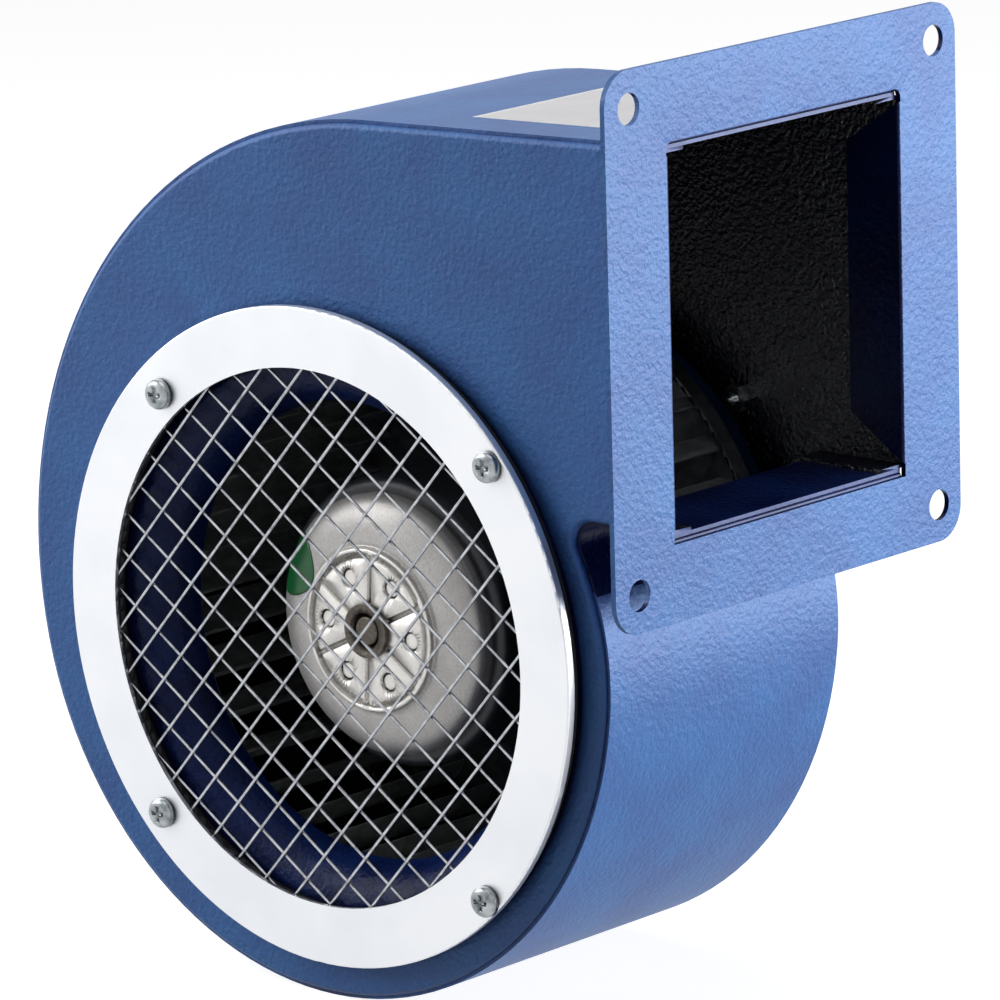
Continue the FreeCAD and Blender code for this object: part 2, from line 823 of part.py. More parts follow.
def impeller_rivets():
    rivets = []
    for place in rivet_places():
        foot = shell_back - shell_wall
        shank = disc(rivet_radius, foot, disc_back, place)
        shank = shank.fuse(disc(2 * rivet_radius, foot - rivet_head, foot, place))
        top = disc_back + rivet_head
        head = disc(2 * rivet_radius, disc_back, top, place)
        rivets.append(shank.fuse(head.makeFillet(rivet_round, level_edges(head, top))))
    return Part.makeCompound(rivets)


def cable_grommet():
    # Rubber ring in the dish's floor, with a collar on the back of the sheet
    radius = grommet_hole + grommet_wall
    top = seat_back + grommet_collar
    shape = disc(radius, motor_seat, seat_back, grommet_place)
    collar = disc(radius + grommet_flare, seat_back, top, grommet_place)
    shape = shape.fuse(collar.makeFillet(grommet_round, level_edges(collar, top)))
    return shape.cut(disc(grommet_hole, motor_seat - past, top + past, grommet_place))


pieces = {
    "front_side_plate": side_plate,
    "rear_side_plate": rear_side_plate,
    "scroll_wrap": scroll_wrap,
    "cutoff_sheet": cutoff_sheet,
    "outlet_flange": outlet_flange,
    "inlet_nozzle": inlet_nozzle,
    "guard_spacer": guard_spacer,
    "guard_ring": guard_ring,
    "rising_guard_wires": rising_guard_wires,
    "falling_guard_wires": falling_guard_wires,
    "guard_screws": guard_screws,
    "guard_nuts": guard_nuts,
    "motor_plate": motor_plate,
    "motor_plate_screws": motor_plate_screws,
    "motor_plate_nuts": motor_plate_nuts,
    "motor_screws": motor_screws,
    "stator_base": stator_base,
    "stator_core": stator_core,
    "front_winding": front_winding,
    "rear_winding": rear_winding,
    "front_bearing_outer": front_bearing_outer,
    "rear_bearing_outer": rear_bearing_outer,
    "front_bearing_inner": front_bearing_inner,
    "rear_bearing_inner": rear_bearing_inner,
    "shaft": shaft,
    "retaining_clip": retaining_clip,
    "hub_bush": hub_bush,
    "rotor_cap": rotor_cap,
    "hub_pins": hub_pins,
    "rotor_shell": rotor_shell,
    "rotor_core": rotor_core,
    "impeller_blades": impeller_blades,
    "impeller_front_ring": impeller_front_ring,
    "impeller_disc": impeller_disc,
    "impeller_rivets": impeller_rivets,
    "cable_grommet": cable_grommet,
}

os.makedirs("parts", exist_ok=True)
for name, build in pieces.items():
    save(name, build())
    print(name)
print("outlet top", round(outlet_top, 3), "origin", origin)
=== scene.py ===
import json
import math
import bmesh
import bpy
import numpy as np
from mathutils import Matrix, Vector

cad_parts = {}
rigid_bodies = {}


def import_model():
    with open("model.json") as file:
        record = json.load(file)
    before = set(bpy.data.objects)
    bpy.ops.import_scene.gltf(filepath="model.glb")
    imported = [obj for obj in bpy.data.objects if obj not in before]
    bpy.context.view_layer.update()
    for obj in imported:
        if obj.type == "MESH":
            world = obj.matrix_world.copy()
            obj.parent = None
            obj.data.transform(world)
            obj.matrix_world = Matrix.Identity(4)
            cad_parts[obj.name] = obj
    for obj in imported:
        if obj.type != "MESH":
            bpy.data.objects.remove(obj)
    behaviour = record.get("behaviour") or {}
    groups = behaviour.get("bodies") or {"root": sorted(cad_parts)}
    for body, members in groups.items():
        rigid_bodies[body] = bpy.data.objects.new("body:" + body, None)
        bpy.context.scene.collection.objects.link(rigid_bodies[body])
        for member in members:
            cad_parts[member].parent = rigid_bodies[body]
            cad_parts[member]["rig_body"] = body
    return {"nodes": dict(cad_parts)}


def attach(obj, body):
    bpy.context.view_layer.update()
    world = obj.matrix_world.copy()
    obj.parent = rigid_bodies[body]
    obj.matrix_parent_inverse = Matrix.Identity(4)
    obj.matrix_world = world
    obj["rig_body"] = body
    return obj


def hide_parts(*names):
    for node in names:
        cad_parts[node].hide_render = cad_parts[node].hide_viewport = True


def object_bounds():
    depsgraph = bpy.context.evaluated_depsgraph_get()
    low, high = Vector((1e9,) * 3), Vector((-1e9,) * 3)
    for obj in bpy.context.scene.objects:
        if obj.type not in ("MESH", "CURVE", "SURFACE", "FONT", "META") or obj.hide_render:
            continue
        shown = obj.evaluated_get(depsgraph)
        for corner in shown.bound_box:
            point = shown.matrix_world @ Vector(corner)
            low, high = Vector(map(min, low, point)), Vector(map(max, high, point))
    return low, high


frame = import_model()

mm = 0.001
perMetre = 1000.0   # divided by a size in mm, the scale of a texture that repeats at that size
cornerRays = 6      # rays that feel how deep in a corner a point lies, for the shade painted there
cadBox = [list(corner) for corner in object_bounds()]
scene = bpy.context.scene

# What several pieces share, in millimetres of the row frame
fan = {
    "axis": (-117.5, -93.792),     # x and z of the wheel's axis
    "capFront": -35.0,             # y of the motor cap's flat shoulder
    "hubRadius": 22.5,             # the hub rises from the shoulder within this
    "capFlat": 30.0,               # radius where the solid's shoulder starts to round over
    "capRound": 6.0,               # radius of that rounding
    "roofPlace": (-1.5, 50.892),   # x and z of the roof's end at the flange
    "roofRise": 1.8,               # degrees
}


def srgb(text):
    # An sRGB hex colour as linear red, green, blue and alpha
    parts = np.array([int(text[i:i + 2], 16) for i in (1, 3, 5)]) / 255
    linear = np.where(parts <= 0.04045, parts / 12.92, ((parts + 0.055) / 1.055) ** 2.4)
    return (*linear.tolist(), 1.0)


def addNode(tree, kind, inputs=None, stops=(), **settings):
    # Adds one shader node; an input given a socket is linked, any other value is set on it, and
    # a colour ramp's stops are pairs of a place and an sRGB hex colour, in rising order
    node = tree.nodes.new("ShaderNode" + kind)
    for name, value in settings.items():
        setattr(node, name, value)
    for index, (place, colour) in enumerate(stops):
        elements = node.color_ramp.elements
        element = elements[index] if index < 2 else elements.new(place)   # a new ramp has two
        element.position = place
        element.color = srgb(colour)
    for name, value in (inputs or {}).items():
        if isinstance(value, bpy.types.NodeSocket):
            tree.links.new(value, node.inputs[name])
        else:
            node.inputs[name].default_value = value
    return node


def newMaterial(name):
    material = bpy.data.materials.new(name)
    material.use_nodes = True
    material.node_tree.nodes.clear()
    return material, material.node_tree


def finishMaterial(tree, shader, normal=None):
    if normal is not None:
        tree.links.new(normal, shader.inputs["Normal"])
    addNode(tree, "OutputMaterial", {"Surface": shader.outputs["BSDF"]})


print("stage: values ready")

# Materials: sizes are in mm, a ramp's stops belong to the colours before them in the same order, a mottle
# gives the noise's low and high ends and the tone at the low one, a nook is how far the shade painted into
# corners and seams reaches, and the crevice tone is that shade's darkest colour

enamel = {
    "creviceShade": "#0a1538", "deep": "#3e66a9", "body": "#4178bb", "stops": (0.25, 0.7, 1.0),
    "mottle": (0.14, 0.38, 0.7), "patch": 22.0, "cell": 1.6, "grain": 0.8, "nook": 2.2, "relief": 0.22,
    "strength": 0.8, "roughLow": 0.4, "roughHigh": 0.54, "metal": 0.05, "gloss": 0.35,
}
# Painted shade: the housing's blue enamel made navy or near black for its inner faces, the nozzle and the
# duct, which lie in shade; the black one keeps a high gloss
navyShadeEnamel = {
    **enamel, "creviceShade": "#04081c", "deep": "#0a1442", "body": "#152f6c", "relief": 0.2,
    "roughLow": 0.25, "roughHigh": 0.35, "metal": 0.0, "gloss": 0.12,
}
blackShadeEnamel = {
    **navyShadeEnamel, "creviceShade": "#020308", "deep": "#0c0f1c", "body": "#121627", "cell": 1.4, "relief": 0.5,
    "strength": 1.0, "roughLow": 0.16, "roughHigh": 0.26, "gloss": 1.0,
}
# Painted sheen: a paler, greyer blue on the sheets' cut ends in the outlet, where light catches them
sheetEndSheen = {**enamel, "deep": "#43568c", "body": "#52659c", "strength": 0.2}


def hammeredEnamel(name, values):
    # Stoved hammer-finish enamel on sheet steel: shallow pits under 2 mm apart, which break up
    # its highlights, a little metal flake and a slightly uneven colour, with shade painted dark into its
    # corners and seams
    material, tree = newMaterial(name)
    place = addNode(tree, "TexCoord").outputs["Object"]
    cells = addNode(tree, "TexVoronoi", {"Vector": place, "Scale": perMetre / values["cell"]},
                    feature="SMOOTH_F1")
    grain = addNode(tree, "TexNoise", {"Vector": place, "Scale": perMetre / values["grain"], "Detail": 3.0})
    patches = addNode(tree, "TexNoise", {"Vector": place, "Scale": perMetre / values["patch"], "Detail": 2.0})
    height = addNode(tree, "Math", {0: cells.outputs["Distance"], 1: grain.outputs["Fac"]}, operation="ADD")
    # Painted shade: the colour falls to the darkest tone where a point lies deep in a corner or seam
    unshaded = addNode(tree, "AmbientOcclusion", {"Distance": values["nook"] * mm}, samples=cornerRays)
    low, high, least = values["mottle"]
    mottle = addNode(tree, "Math", {0: patches.outputs["Fac"], 1: grain.outputs["Fac"]}, operation="MULTIPLY")
    mottle = addNode(tree, "MapRange", {"Value": mottle.outputs[0], "From Min": low, "From Max": high,
                                        "To Min": least, "To Max": 1.0})
    tone = addNode(tree, "Math", {0: mottle.outputs[0], 1: unshaded.outputs["AO"]}, operation="MULTIPLY")
    colour = addNode(tree, "ValToRGB", {"Fac": tone.outputs[0]}, stops=zip(
        values["stops"], (values["creviceShade"], values["deep"], values["body"]))).outputs["Color"]
    rough = addNode(tree, "MapRange", {"Value": grain.outputs["Fac"], "To Min": values["roughLow"],
                                       "To Max": values["roughHigh"]})
    bump = addNode(tree, "Bump", {"Height": height.outputs[0], "Strength": values["strength"],
                                  "Distance": values["relief"] * mm})
    shader = addNode(tree, "BsdfPrincipled", {"Base Color": colour, "Roughness": rough.outputs[0],
                                              "Metallic": values["metal"],
                                              "Specular IOR Level": values["gloss"]})
    finishMaterial(tree, shader, bump.outputs[0])
    return material


brightRing = {
    "shade": "#e6e9ed", "body": "#eceef1", "stops": (0.35, 0.6), "patch": 25.0, "grain": 0.6,
    "relief": 0.015, "strength": 0.3, "rough": 0.38, "metal": 0.8,
}


def silverLacquer(name, values):
    # Bright silver-white lacquer on a pressed steel ring: even, satin and strongly reflecting
    material, tree = newMaterial(name)
    place = addNode(tree, "TexCoord").outputs["Object"]
    patches = addNode(tree, "TexNoise", {"Vector": place, "Scale": perMetre / values["patch"], "Detail": 3.0})
    grain = addNode(tree, "TexNoise", {"Vector": place, "Scale": perMetre / values["grain"], "Detail": 2.0})
    colour = addNode(tree, "ValToRGB", {"Fac": patches.outputs["Fac"]}, stops=zip(
        values["stops"], (values["shade"], values["body"]))).outputs["Color"]
    bump = addNode(tree, "Bump", {"Height": grain.outputs["Fac"], "Strength": values["strength"],
                                  "Distance": values["relief"] * mm})
    shader = addNode(tree, "BsdfPrincipled", {"Base Color": colour, "Roughness": values["rough"],
                                              "Metallic": values["metal"]})
    finishMaterial(tree, shader, bump.outputs[0])
    return material


zinc = {
    "creviceShade": "#0c0e10", "dull": "#767c80", "bright": "#a6abad", "stops": (0.12, 0.35, 0.6), "patch": 3.0,
    "nook": 1.2, "roughLow": 0.2, "roughHigh": 0.36,
}
thinZinc = {**zinc, "dull": "#94979c", "bright": "#b8bbc0", "nook": 0.6}


def platedSteel(name, values):
    # Bright zinc plating: a pale metal whose gloss is slightly clouded, with shade painted dark into its
    # corners
    material, tree = newMaterial(name)
    place = addNode(tree, "TexCoord").outputs["Object"]
    clouds = addNode(tree, "TexNoise", {"Vector": place, "Scale": perMetre / values["patch"], "Detail": 5.0})
    # Painted shade in the recesses and corners
    unshaded = addNode(tree, "AmbientOcclusion", {"Distance": values["nook"] * mm}, samples=cornerRays)
    tone = addNode(tree, "Math", {0: clouds.outputs["Fac"], 1: unshaded.outputs["AO"]}, operation="MULTIPLY")
    colour = addNode(tree, "ValToRGB", {"Fac": tone.outputs[0]}, stops=zip(
        values["stops"], (values["creviceShade"], values["dull"], values["bright"]))).outputs["Color"]
    rough = addNode(tree, "MapRange", {"Value": clouds.outputs["Fac"], "To Min": values["roughLow"],
                                       "To Max": values["roughHigh"]})
    shader = addNode(tree, "BsdfPrincipled", {"Base Color": colour, "Roughness": rough.outputs[0],
                                              "Metallic": 1.0})
    finishMaterial(tree, shader)
    return material


castMetal = {
    "creviceShade": "#24221f", "dark": "#cbc8c5", "light": "#e2dfdc", "stops": (0.3, 0.8, 1.0),
    "mottle": (0.14, 0.34, 0.8), "patch": 9.0, "grain": 0.6, "nook": 1.8, "relief": 0.025,
    "strength": 0.4, "rough": 0.4, "metal": 0.35,
}
facedMetal = {**castMetal, "dark": "#efece7", "light": "#faf7f3", "metal": 0.65}


def castAluminium(name, values):
    # Pressure die-cast aluminium, left as cast and lightly blasted: grey and finely grainy, with
    # shade painted dark into its corners
    material, tree = newMaterial(name)
    place = addNode(tree, "TexCoord").outputs["Object"]
    patches = addNode(tree, "TexNoise", {"Vector": place, "Scale": perMetre / values["patch"], "Detail": 4.0})
    grain = addNode(tree, "TexNoise", {"Vector": place, "Scale": perMetre / values["grain"], "Detail": 2.0})
    # Painted shade in the recesses and corners
    unshaded = addNode(tree, "AmbientOcclusion", {"Distance": values["nook"] * mm}, samples=cornerRays)
    low, high, least = values["mottle"]
    mottle = addNode(tree, "Math", {0: patches.outputs["Fac"], 1: grain.outputs["Fac"]}, operation="MULTIPLY")
    mottle = addNode(tree, "MapRange", {"Value": mottle.outputs[0], "From Min": low, "From Max": high,
                                        "To Min": least, "To Max": 1.0})
    tone = addNode(tree, "Math", {0: mottle.outputs[0], 1: unshaded.outputs["AO"]}, operation="MULTIPLY")
    colour = addNode(tree, "ValToRGB", {"Fac": tone.outputs[0]}, stops=zip(
        values["stops"], (values["creviceShade"], values["dark"], values["light"]))).outputs["Color"]
    bump = addNode(tree, "Bump", {"Height": grain.outputs["Fac"], "Strength": values["strength"],
                                  "Distance": values["relief"] * mm})
    shader = addNode(tree, "BsdfPrincipled", {"Base Color": colour, "Roughness": values["rough"],
                                              "Metallic": values["metal"]})
    finishMaterial(tree, shader, bump.outputs[0])
    return material


spangle = {
    "dark": "#b2b5b6", "light": "#c3c6c6", "stops": (0.1, 0.9), "crystal": 2.5, "roughLow": 0.36,
    "roughHigh": 0.46, "metal": 0.9,
}
# The same zinc spangle, much darker, for the wheel's back disc
duskySpangle = {**spangle, "dark": "#383a3e", "light": "#44464b"}


def galvanisedSheet(name, values):
    # Hot-dip galvanised sheet: zinc crystals 2 to 3 mm wide, each a slightly different grey
    material, tree = newMaterial(name)
    place = addNode(tree, "TexCoord").outputs["Object"]
    crystals = addNode(tree, "TexVoronoi", {"Vector": place, "Scale": perMetre / values["crystal"]})
    tone = addNode(tree, "SeparateColor", {"Color": crystals.outputs["Color"]}).outputs["Red"]
    colour = addNode(tree, "ValToRGB", {"Fac": tone}, stops=zip(
        values["stops"], (values["dark"], values["light"]))).outputs["Color"]
    rough = addNode(tree, "MapRange", {"Value": tone, "To Min": values["roughLow"],
                                       "To Max": values["roughHigh"]})
    shader = addNode(tree, "BsdfPrincipled", {"Base Color": colour, "Roughness": rough.outputs[0],
                                              "Metallic": values["metal"]})
    finishMaterial(tree, shader)
    return material


# Each has two close tones, its roughness, metal share and grain in mm
plain = {
    "softRubber": ("#141416", "#1d1d20", 0.62, 0.0, 0.6),      # moulded black rubber, dull
    "coatedShell": ("#24262d", "#2e3138", 0.42, 0.0, 1.2),     # dark baked coating on drawn steel
    "turnedSteel": ("#4f4a44", "#6b655d", 0.4, 0.8, 0.8),      # turned steel, oiled, brownish
    "stackedSteel": ("#4a4a4c", "#67686b", 0.5, 0.8, 0.5),     # edges of stacked laminations
    "groundSteel": ("#b4b6b9", "#cccdcf", 0.16, 1.0, 2.0),     # ground and polished bearing steel
    "coatedCopper": ("#8a4522", "#b0622f", 0.35, 0.6, 0.9),    # varnished copper wire
    "whitePaper": ("#f7f6f8", "#f2f1f4", 0.55, 0.0, 12.0),     # bare label stock, faintly uneven
    "greenFoil": ("#0c6a36", "#12803f", 0.3, 0.0, 4.0),        # bare green vinyl sticker
}
plainGrain = {"stops": (0.35, 0.65), "strength": 0.2, "relief": 0.02}


def plainFinish(name, values):
    # One of the finishes above, with the same slight grain in its colour and its surface
    low, high, rough, metal, grain = values
    material, tree = newMaterial(name)
    place = addNode(tree, "TexCoord").outputs["Object"]
    noise = addNode(tree, "TexNoise", {"Vector": place, "Scale": perMetre / grain, "Detail": 3.0})
    colour = addNode(tree, "ValToRGB", {"Fac": noise.outputs["Fac"]}, stops=zip(
        plainGrain["stops"], (low, high))).outputs["Color"]
    bump = addNode(tree, "Bump", {"Height": noise.outputs["Fac"], "Strength": plainGrain["strength"],
                                  "Distance": plainGrain["relief"] * mm})
    shader = addNode(tree, "BsdfPrincipled", {"Base Color": colour, "Roughness": rough, "Metallic": metal})
    finishMaterial(tree, shader, bump.outputs[0])
    return material


blueEnamel = hammeredEnamel("hammeredBlueEnamel", enamel)
# Painted shade for the inside of the housing and the nozzle
navyPaintedShade = hammeredEnamel("navyEnamelPaintedShade", navyShadeEnamel)
blackPaintedShade = hammeredEnamel("blackEnamelPaintedShade", blackShadeEnamel)
endSheenEnamel = hammeredEnamel("paintedSheenOnSheetEnds", sheetEndSheen)
ringLacquer = silverLacquer("silverWhiteLacquer", brightRing)
zincPlate = platedSteel("brightZincPlate", zinc)
wireZinc = platedSteel("zincWire", thinZinc)
castAlloy = castAluminium("dieCastAluminium", castMetal)
facedAlloy = castAluminium("facedAluminium", facedMetal)
galvanised = galvanisedSheet("galvanisedSheet", spangle)
duskyZinc = galvanisedSheet("darkGalvanisedSheet", duskySpangle)
finishes = {name: plainFinish(name, values) for name, values in plain.items()}
print("stage: materials ready")

# Each CAD node with its finish

dressing = {
    "front_side_plate": blueEnamel, "rear_side_plate": blueEnamel, "scroll_wrap": blueEnamel,
    # the nozzle's navy is painted shade
    "cutoff_sheet": blueEnamel, "outlet_flange": blueEnamel, "inlet_nozzle": navyPaintedShade,
    "motor_plate": blueEnamel, "guard_ring": ringLacquer, "guard_spacer": finishes["softRubber"],
    "rising_guard_wires": wireZinc, "falling_guard_wires": wireZinc,
    "guard_screws": zincPlate, "guard_nuts": zincPlate, "motor_plate_screws": zincPlate,
    "motor_plate_nuts": zincPlate, "motor_screws": zincPlate, "stator_base": castAlloy,
    "stator_core": finishes["stackedSteel"], "rotor_core": finishes["stackedSteel"],
    "front_winding": finishes["coatedCopper"], "rear_winding": finishes["coatedCopper"],
    "front_bearing_outer": finishes["groundSteel"], "rear_bearing_outer": finishes["groundSteel"],
    "front_bearing_inner": finishes["groundSteel"], "rear_bearing_inner": finishes["groundSteel"],
    "shaft": finishes["turnedSteel"], "retaining_clip": finishes["turnedSteel"],
    "hub_bush": finishes["turnedSteel"], "rotor_cap": castAlloy, "hub_pins": facedAlloy,
    "rotor_shell": finishes["coatedShell"], "impeller_blades": galvanised,
    "impeller_front_ring": galvanised, "impeller_disc": duskyZinc, "impeller_rivets": zincPlate,
    "cable_grommet": finishes["softRubber"],
}
# Nodes that lie unseen in the motor: they stay as they are, with a finish of their own
sealed = ("stator_core", "rotor_core", "front_winding", "rear_winding", "front_bearing_outer",
          "rear_bearing_outer", "front_bearing_inner", "rear_bearing_inner", "retaining_clip")
crease = 32         # degrees; a CAD node's edge that turns more than this stays sharp
weldReach = 0.001   # mm; points nearer to each other than this are one


def camel(text):
    first, *rest = text.split("_")
    return first + "".join(word.capitalize() for word in rest)


def addPiece(name, mesh, body, material, smooth):
    # Dresses a mesh, shades it over edges of up to smooth degrees, links it and hangs it on its body
    mesh.materials.clear()
    mesh.materials.append(material)
    mesh.shade_smooth()
    mesh.set_sharp_from_angle(angle=math.radians(smooth))
    piece = bpy.data.objects.new(name, mesh)
    scene.collection.objects.link(piece)
    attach(piece, body)
    return piece


def weld(mesh):
    # Joins points that lie in one place, as at a solid's face edges or a disc's pole
    work = bmesh.new()
    work.from_mesh(mesh)
    bmesh.ops.remove_doubles(work, verts=work.verts, dist=weldReach * mm)
    work.to_mesh(mesh)
    work.free()


def thicken(piece, thickness):
    # Gives a sheet its thickness in mm, inwards from its face
    sheet = piece.modifiers.new("thickness", "SOLIDIFY")
    sheet.thickness = thickness * mm
    sheet.offset = -1


def weldedCopy(node, material):
    # The CAD solid's surface with its points merged, smooth but for its real edges
    source = frame["nodes"][node]
    mesh = source.data.copy()
    weld(mesh)
    name = camel(node) if "_" in node else camel("motor_" + node)   # never the node's own name
    piece = addPiece(name, mesh, source["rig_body"], material, smooth=crease)
    weights = piece.modifiers.new("faceWeights", "WEIGHTED_NORMAL")
    weights.keep_sharp = True
    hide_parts(node)
    return piece


airSide = {
    "duct": (-60.0, 0.0, 0.0),           # a point in the duct, which the cut-off's inner side faces
    "mouth": (-0.75, 0.0, 0.0),          # the outlet's middle, which the flange's inner edges face
    "floor": -48.9, "floorReach": 1.5,   # height of the duct's floor, and how near its faces lie to it
    "nook": -69.0,                       # above this height the cut-off sheet's outer face takes painted shade
    "endBack": -1.6, "endFront": -1.0,   # the sheets' cut ends in the outlet lie between these x
    "upwards": 0.5, "outwards": 0.9,     # the least that a floor's or an end's normal points that way
}


def paintShadeInside(piece, towards, finish, shadeAbove=math.inf):
    # Faces whose normal points to where the air runs get their own darker finish as painted shade, and so do
    # the duct's floor and all above the given height; the sheets' cut ends in the outlet get a paler one, a
    # painted sheen
    mesh = piece.data
    centres = np.empty(3 * len(mesh.polygons))
    normals = np.empty_like(centres)
    mesh.polygons.foreach_get("center", centres)
    mesh.polygons.foreach_get("normal", normals)
    centres = centres.reshape(-1, 3)
    normals = normals.reshape(-1, 3)
    x, z = centres[:, 0], centres[:, 2]
    inner = ((np.array(towards) * mm - centres) * normals).sum(axis=1) > 0
    floor = np.abs(z - airSide["floor"] * mm) < airSide["floorReach"] * mm
    inner |= floor & (normals[:, 2] > airSide["upwards"])
    inner |= z > shadeAbove * mm
    # painted sheen on the cut ends
    ends = (x > airSide["endBack"] * mm) & (x < airSide["endFront"] * mm)
    ends &= normals[:, 0] > airSide["outwards"]
    mesh.materials.append(finish)
    mesh.materials.append(endSheenEnamel)
    paintIndex = np.where(ends, 2, np.where(inner, 1, 0))   # outer enamel, painted shade, painted sheen on the cut ends: 0, 1, 2
    mesh.polygons.foreach_set("material_index", paintIndex.astype(np.int32))


pieces = {}
for node, material in dressing.items():
    if node in sealed:
        frame["nodes"][node].data.materials.clear()
        frame["nodes"][node].data.materials.append(material)
    else:
        pieces[node] = weldedCopy(node, material)
for node in ("front_side_plate", "rear_side_plate", "scroll_wrap"):
    # Painted shade on the housing's inner faces, the cut-off's nook and the flange's inner edges
    paintShadeInside(pieces[node], (fan["axis"][0], 0, fan["axis"][1]), blackPaintedShade)
paintShadeInside(pieces["cutoff_sheet"], airSide["duct"], navyPaintedShade, shadeAbove=airSide["nook"])
paintShadeInside(pieces["outlet_flange"], airSide["mouth"], navyPaintedShade)
print("stage: CAD pieces dressed")


def gridMesh(name, points, closed=False):
    # A surface from an array of points, rows by columns; closed joins the last column to the first
    rows, columns = points.shape[:2]
    index = np.arange(rows * columns).reshape(rows, columns)
    if closed:
        index = np.hstack([index, index[:, :1]])
    quads = np.stack([index[:-1, :-1], index[:-1, 1:], index[1:, 1:], index[1:, :-1]], axis=-1)
    mesh = bpy.data.meshes.new(name)
    mesh.from_pydata(points.reshape(-1, 3), [], quads.reshape(-1, 4).tolist())
    mesh.update()
    weld(mesh)
    return mesh


label = {
    "left": -79.3, "right": -12.0,   # mm; x of its two ends
    "half": 31.3, "thick": 0.12,     # mm; half its width across the roof, and its thickness
    "steps": 40, "smooth": 30,
}


def roofLabel(values):
    # A sheet as a grid of x along the roof and y across it; z is the roof's height at x
    x = np.linspace(values["left"], values["right"], values["steps"])[None, :]
    y = np.linspace(-values["half"], values["half"], values["steps"])[:, None]
    endX, endZ = fan["roofPlace"]
    x, y = np.broadcast_arrays(x, y)
    z = endZ + (x - endX) * math.tan(math.radians(fan["roofRise"])) + values["thick"]
    mesh = gridMesh("roofLabel", np.stack([x, y, z], axis=-1) * mm)
    piece = addPiece("roofLabel", mesh, "housing", finishes["whitePaper"], values["smooth"])
    thicken(piece, values["thick"])


roofLabel(label)


def capDepth(radius):
    # How far the cap has fallen back at a radius: a quarter ellipse from the hub's foot to the rim
    part = (radius - fan["hubRadius"]) / (fan["capFlat"] + fan["capRound"] - fan["hubRadius"])
    return fan["capRound"] * (1 - np.sqrt(np.clip(1 - np.clip(part, 0, 1) ** 2, 0, None)))


doming = {
    "near": 0.1,       # mm by which a point may miss the hub's foot
    "onFace": 0.05,    # mm by which it may miss the solid's shoulder
    "longEdge": 5.0,   # an edge on the shoulder that spans more radius than this is cut
    "cuts": 8,         # so many times
}


def roundCap(piece, values):
    # The cap's flat shoulder is cut finer and laid on that ellipse, so that it is lit as a dome,
    # and the hub within it gets its brighter faced finish
    work = bmesh.new()
    work.from_mesh(piece.data)

    def polar(vert):
        radius = math.hypot(vert.co.x / mm - fan["axis"][0], vert.co.z / mm - fan["axis"][1])
        return radius, vert.co.y / mm - fan["capFront"]

    def onShoulder(vert):
        radius, depth = polar(vert)
        out = min(max(radius - fan["capFlat"], 0) / fan["capRound"], 1)
        solidDepth = fan["capRound"] * (1 - math.sqrt(1 - out ** 2))
        return radius > fan["hubRadius"] - values["near"] and abs(depth - solidDepth) < values["onFace"]

    crossing = [edge for edge in work.edges if all(onShoulder(vert) for vert in edge.verts)
                and abs(polar(edge.verts[0])[0] - polar(edge.verts[1])[0]) > values["longEdge"]]
    bmesh.ops.subdivide_edges(work, edges=crossing, cuts=values["cuts"])
    for vert in work.verts:
        if onShoulder(vert):
            vert.co.y = (fan["capFront"] + float(capDepth(polar(vert)[0]))) * mm
    hubReach = fan["hubRadius"] + values["near"]
    for face in work.faces:
        face.material_index = int(all(polar(vert)[0] < hubReach for vert in face.verts))
    work.normal_update()
    work.to_mesh(piece.data)
    work.free()
    piece.data.materials.append(facedAlloy)


roundCap(pieces["rotor_cap"], doming)

sticker = {
    "radius": 9.0, "thick": 0.12,   # mm
    "centreAlong": 10.0,   # mm along the cap's section from the hub's foot
    "centreTurn": 155.0,   # degrees about the axis, from +x towards +z
    "side": 6.0,           # mm of the cap's straight side that the section takes in
    "sectionSteps": 80, "rings": 14, "spokes": 72, "smooth": 60,
}


def placed(x, y, z):
    # Points in mm, x and z from the wheel's axis and y as it is, in metres of the row frame
    return np.stack([(x + fan["axis"][0]) * mm, y * mm, (z + fan["axis"][1]) * mm], axis=-1)


def capSticker(values):
    # A disc in polar form, laid on the cap: its first direction runs along the cap's section by
    # arc length, ellipse and then side, and its second one turns about the axis; the disc's own
    # turn runs backwards, so that its faces point out
    rim = fan["capFlat"] + fan["capRound"]
    swell = np.sin(np.linspace(0, math.pi / 2, values["sectionSteps"]))
    section = fan["hubRadius"] + (rim - fan["hubRadius"]) * swell
    sectionRadius = np.append(section, rim)
    sectionDepth = np.append(capDepth(section), fan["capRound"] + values["side"])
    radiusSteps = np.diff(sectionRadius, prepend=sectionRadius[0])
    length = np.cumsum(np.hypot(radiusSteps, np.diff(sectionDepth, prepend=0)))
    spread = np.linspace(0, values["radius"], values["rings"])[:, None]
    turn = -np.linspace(0, 2 * math.pi, values["spokes"], endpoint=False)[None, :]
    along = values["centreAlong"] + spread * np.cos(turn)
    across = spread * np.sin(turn)
    outwards = np.interp(along, length, np.gradient(sectionDepth, length))
    forwards = np.interp(along, length, np.gradient(sectionRadius, length))
    radius = np.interp(along, length, sectionRadius) + values["thick"] * outwards
    depth = fan["capFront"] + np.interp(along, length, sectionDepth) - values["thick"] * forwards
    swing = math.radians(values["centreTurn"]) + across / (fan["hubRadius"] + values["centreAlong"])
    points = placed(radius * np.cos(swing), depth, radius * np.sin(swing))
    mesh = gridMesh("capSticker", points, closed=True)
    piece = addPiece("capSticker", mesh, "wheel", finishes["greenFoil"], values["smooth"])
    thicken(piece, values["thick"])


capSticker(sticker)
print("stage: sheet pieces made")

# Floor, light and camera

studio = {
    "level": cadBox[0][2], "floorSide": 24.0,           # metres
    "floor": "#66666a",                                 # its colour where it lights the fan
    "floorShare": "#b4b4b6", "floorShine": 0.87,        # where it is seen: the lit part and its own white
    "worldShare": 0.065,                                # of full light, from all round
}
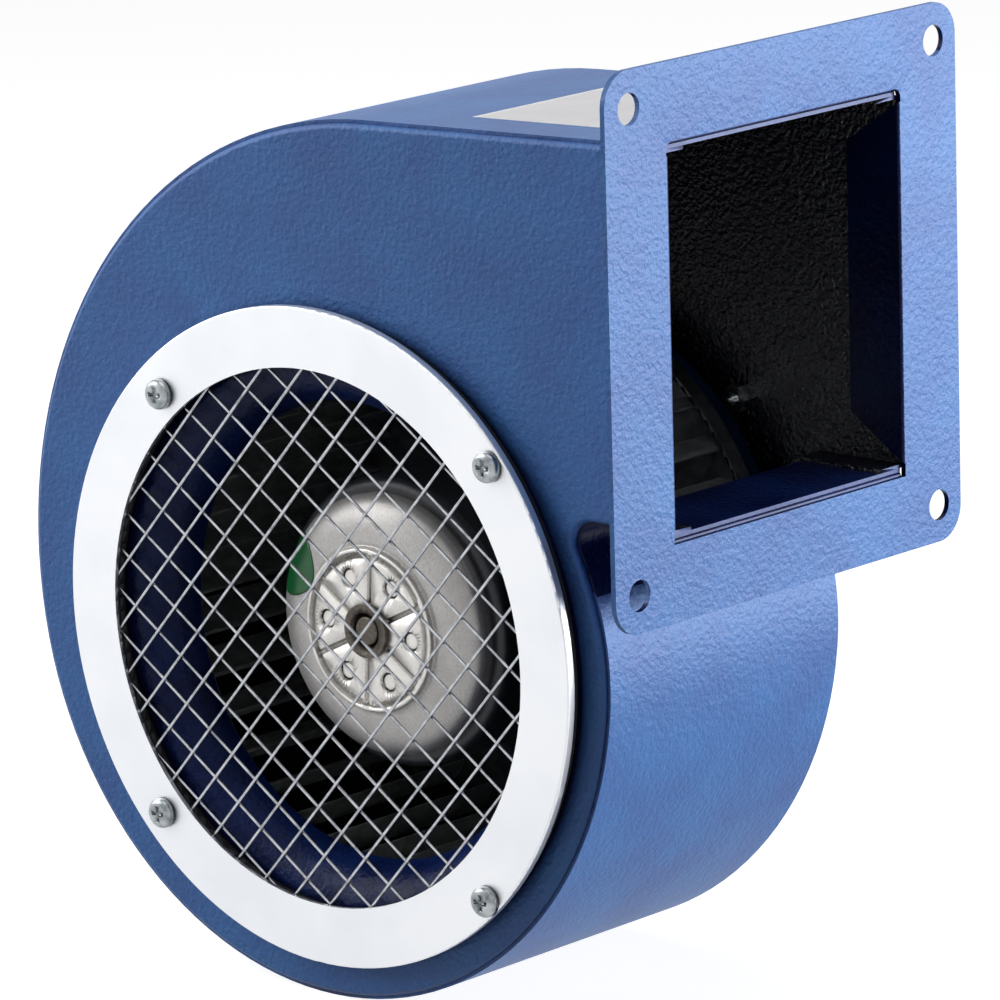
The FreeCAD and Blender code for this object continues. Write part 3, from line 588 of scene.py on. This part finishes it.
# Each lamp: its direction from the point aimed at, distance and side in metres, share of full light
lamps = {
    "leftLight": ((-0.75, -0.47, 0.48), 1.3, 1.0, 0.74),
    "rightLight": ((0.76, 0.64, -0.02), 1.5, 0.6, 1.6),
    "topLight": ((0.1, 0.05, 1.0), 1.5, 1.2, 0.3),
}
lampAim = (fan["axis"][0], 0.0, -60.0)   # mm
pureWhite = (1.0, 1.0, 1.0, 1.0)


def whiteToCamera(tree, lit, white):
    # Camera, mirror and glass rays meet the white shader, all other light the lit one
    rays = addNode(tree, "LightPath").outputs
    seen = addNode(tree, "Math", {0: rays["Is Camera Ray"], 1: rays["Is Glossy Ray"]}, operation="MAXIMUM")
    seen = addNode(tree, "Math", {0: seen.outputs[0], 1: rays["Is Transmission Ray"]}, operation="MAXIMUM")
    return addNode(tree, "MixShader", {"Fac": seen.outputs[0], 1: lit, 2: white}).outputs[0]


def studioFloor(values):
    # A plain pale ground that keeps the fan's shadow under its own even white
    bpy.ops.mesh.primitive_plane_add(size=values["floorSide"], location=(0, 0, values["level"]))
    floor = bpy.context.object
    floor.name = "studioFloor"
    material, tree = newMaterial("palePaper")
    paper = addNode(tree, "BsdfDiffuse", {"Color": srgb(values["floor"])})
    veil = addNode(tree, "BsdfDiffuse", {"Color": srgb(values["floorShare"])})
    shine = addNode(tree, "Emission", {"Strength": values["floorShine"]})
    white = addNode(tree, "AddShader", {0: veil.outputs[0], 1: shine.outputs[0]})
    addNode(tree, "OutputMaterial", {"Surface": whiteToCamera(tree, paper.outputs[0], white.outputs[0])})
    floor.data.materials.append(material)


def studioWorld(values):
    # Faint grey light from all round, white where it is seen
    world = bpy.data.worlds.new("softStudio")
    world.use_nodes = True
    tree = world.node_tree
    tree.nodes.clear()
    grey = addNode(tree, "Background", {"Color": pureWhite, "Strength": values["worldShare"]})
    white = addNode(tree, "Background", {"Color": pureWhite, "Strength": 1.0})
    addNode(tree, "OutputWorld", {"Surface": whiteToCamera(tree, grey.outputs[0], white.outputs[0])})
    scene.world = world


def softLight(name, values):
    # A square lamp that faces the fan; its power gives a facing white surface that share of light
    direction, distance, size, share = values
    lamp = bpy.data.lights.new(name, "AREA")
    lamp.size = size
    lamp.energy = share * (math.pi * distance) ** 2
    holder = bpy.data.objects.new(name, lamp)
    scene.collection.objects.link(holder)
    away = Vector(direction).normalized()
    holder.location = Vector([part * mm for part in lampAim]) + away * distance
    holder.rotation_euler = away.to_track_quat("Z", "Y").to_euler()
    holder.visible_camera = False


studioFloor(studio)
studioWorld(studio)
for name, values in lamps.items():
    softLight(name, values)

view = {
    "place": (1127.6, -1377.0, 364.5),                          # mm
    "azimuth": 41.753, "elevation": 13.035, "roll": 1.6,        # degrees
    "focal": 7041.5, "width": 1000,                             # pixels
    "sensor": 36, "reach": 50,                                  # its width in mm, the range in metres
}


def addCamera(values):
    # Looks along the photograph's own line of sight; azimuth turns from +y, roll leans it over
    turn, lift, lean = (math.radians(values[key]) for key in ("azimuth", "elevation", "roll"))
    back = Vector((math.sin(turn) * math.cos(lift), -math.cos(turn) * math.cos(lift), math.sin(lift)))
    level = Vector((math.cos(turn), math.sin(turn), 0))
    upright = back.cross(level)
    right = level * math.cos(lean) - upright * math.sin(lean)
    up = level * math.sin(lean) + upright * math.cos(lean)
    camera = bpy.data.cameras.new("photoView")
    camera.sensor_width = values["sensor"]
    camera.lens = values["focal"] * values["sensor"] / values["width"]
    camera.clip_end = values["reach"]
    holder = bpy.data.objects.new("photoView", camera)
    scene.collection.objects.link(holder)
    pose = Matrix((right, up, back)).transposed().to_4x4()
    pose.translation = Vector(values["place"]) * mm
    holder.matrix_world = pose
    scene.camera = holder


addCamera(view)
scene.view_settings.view_transform = "Standard"
print("stage: light and camera ready")
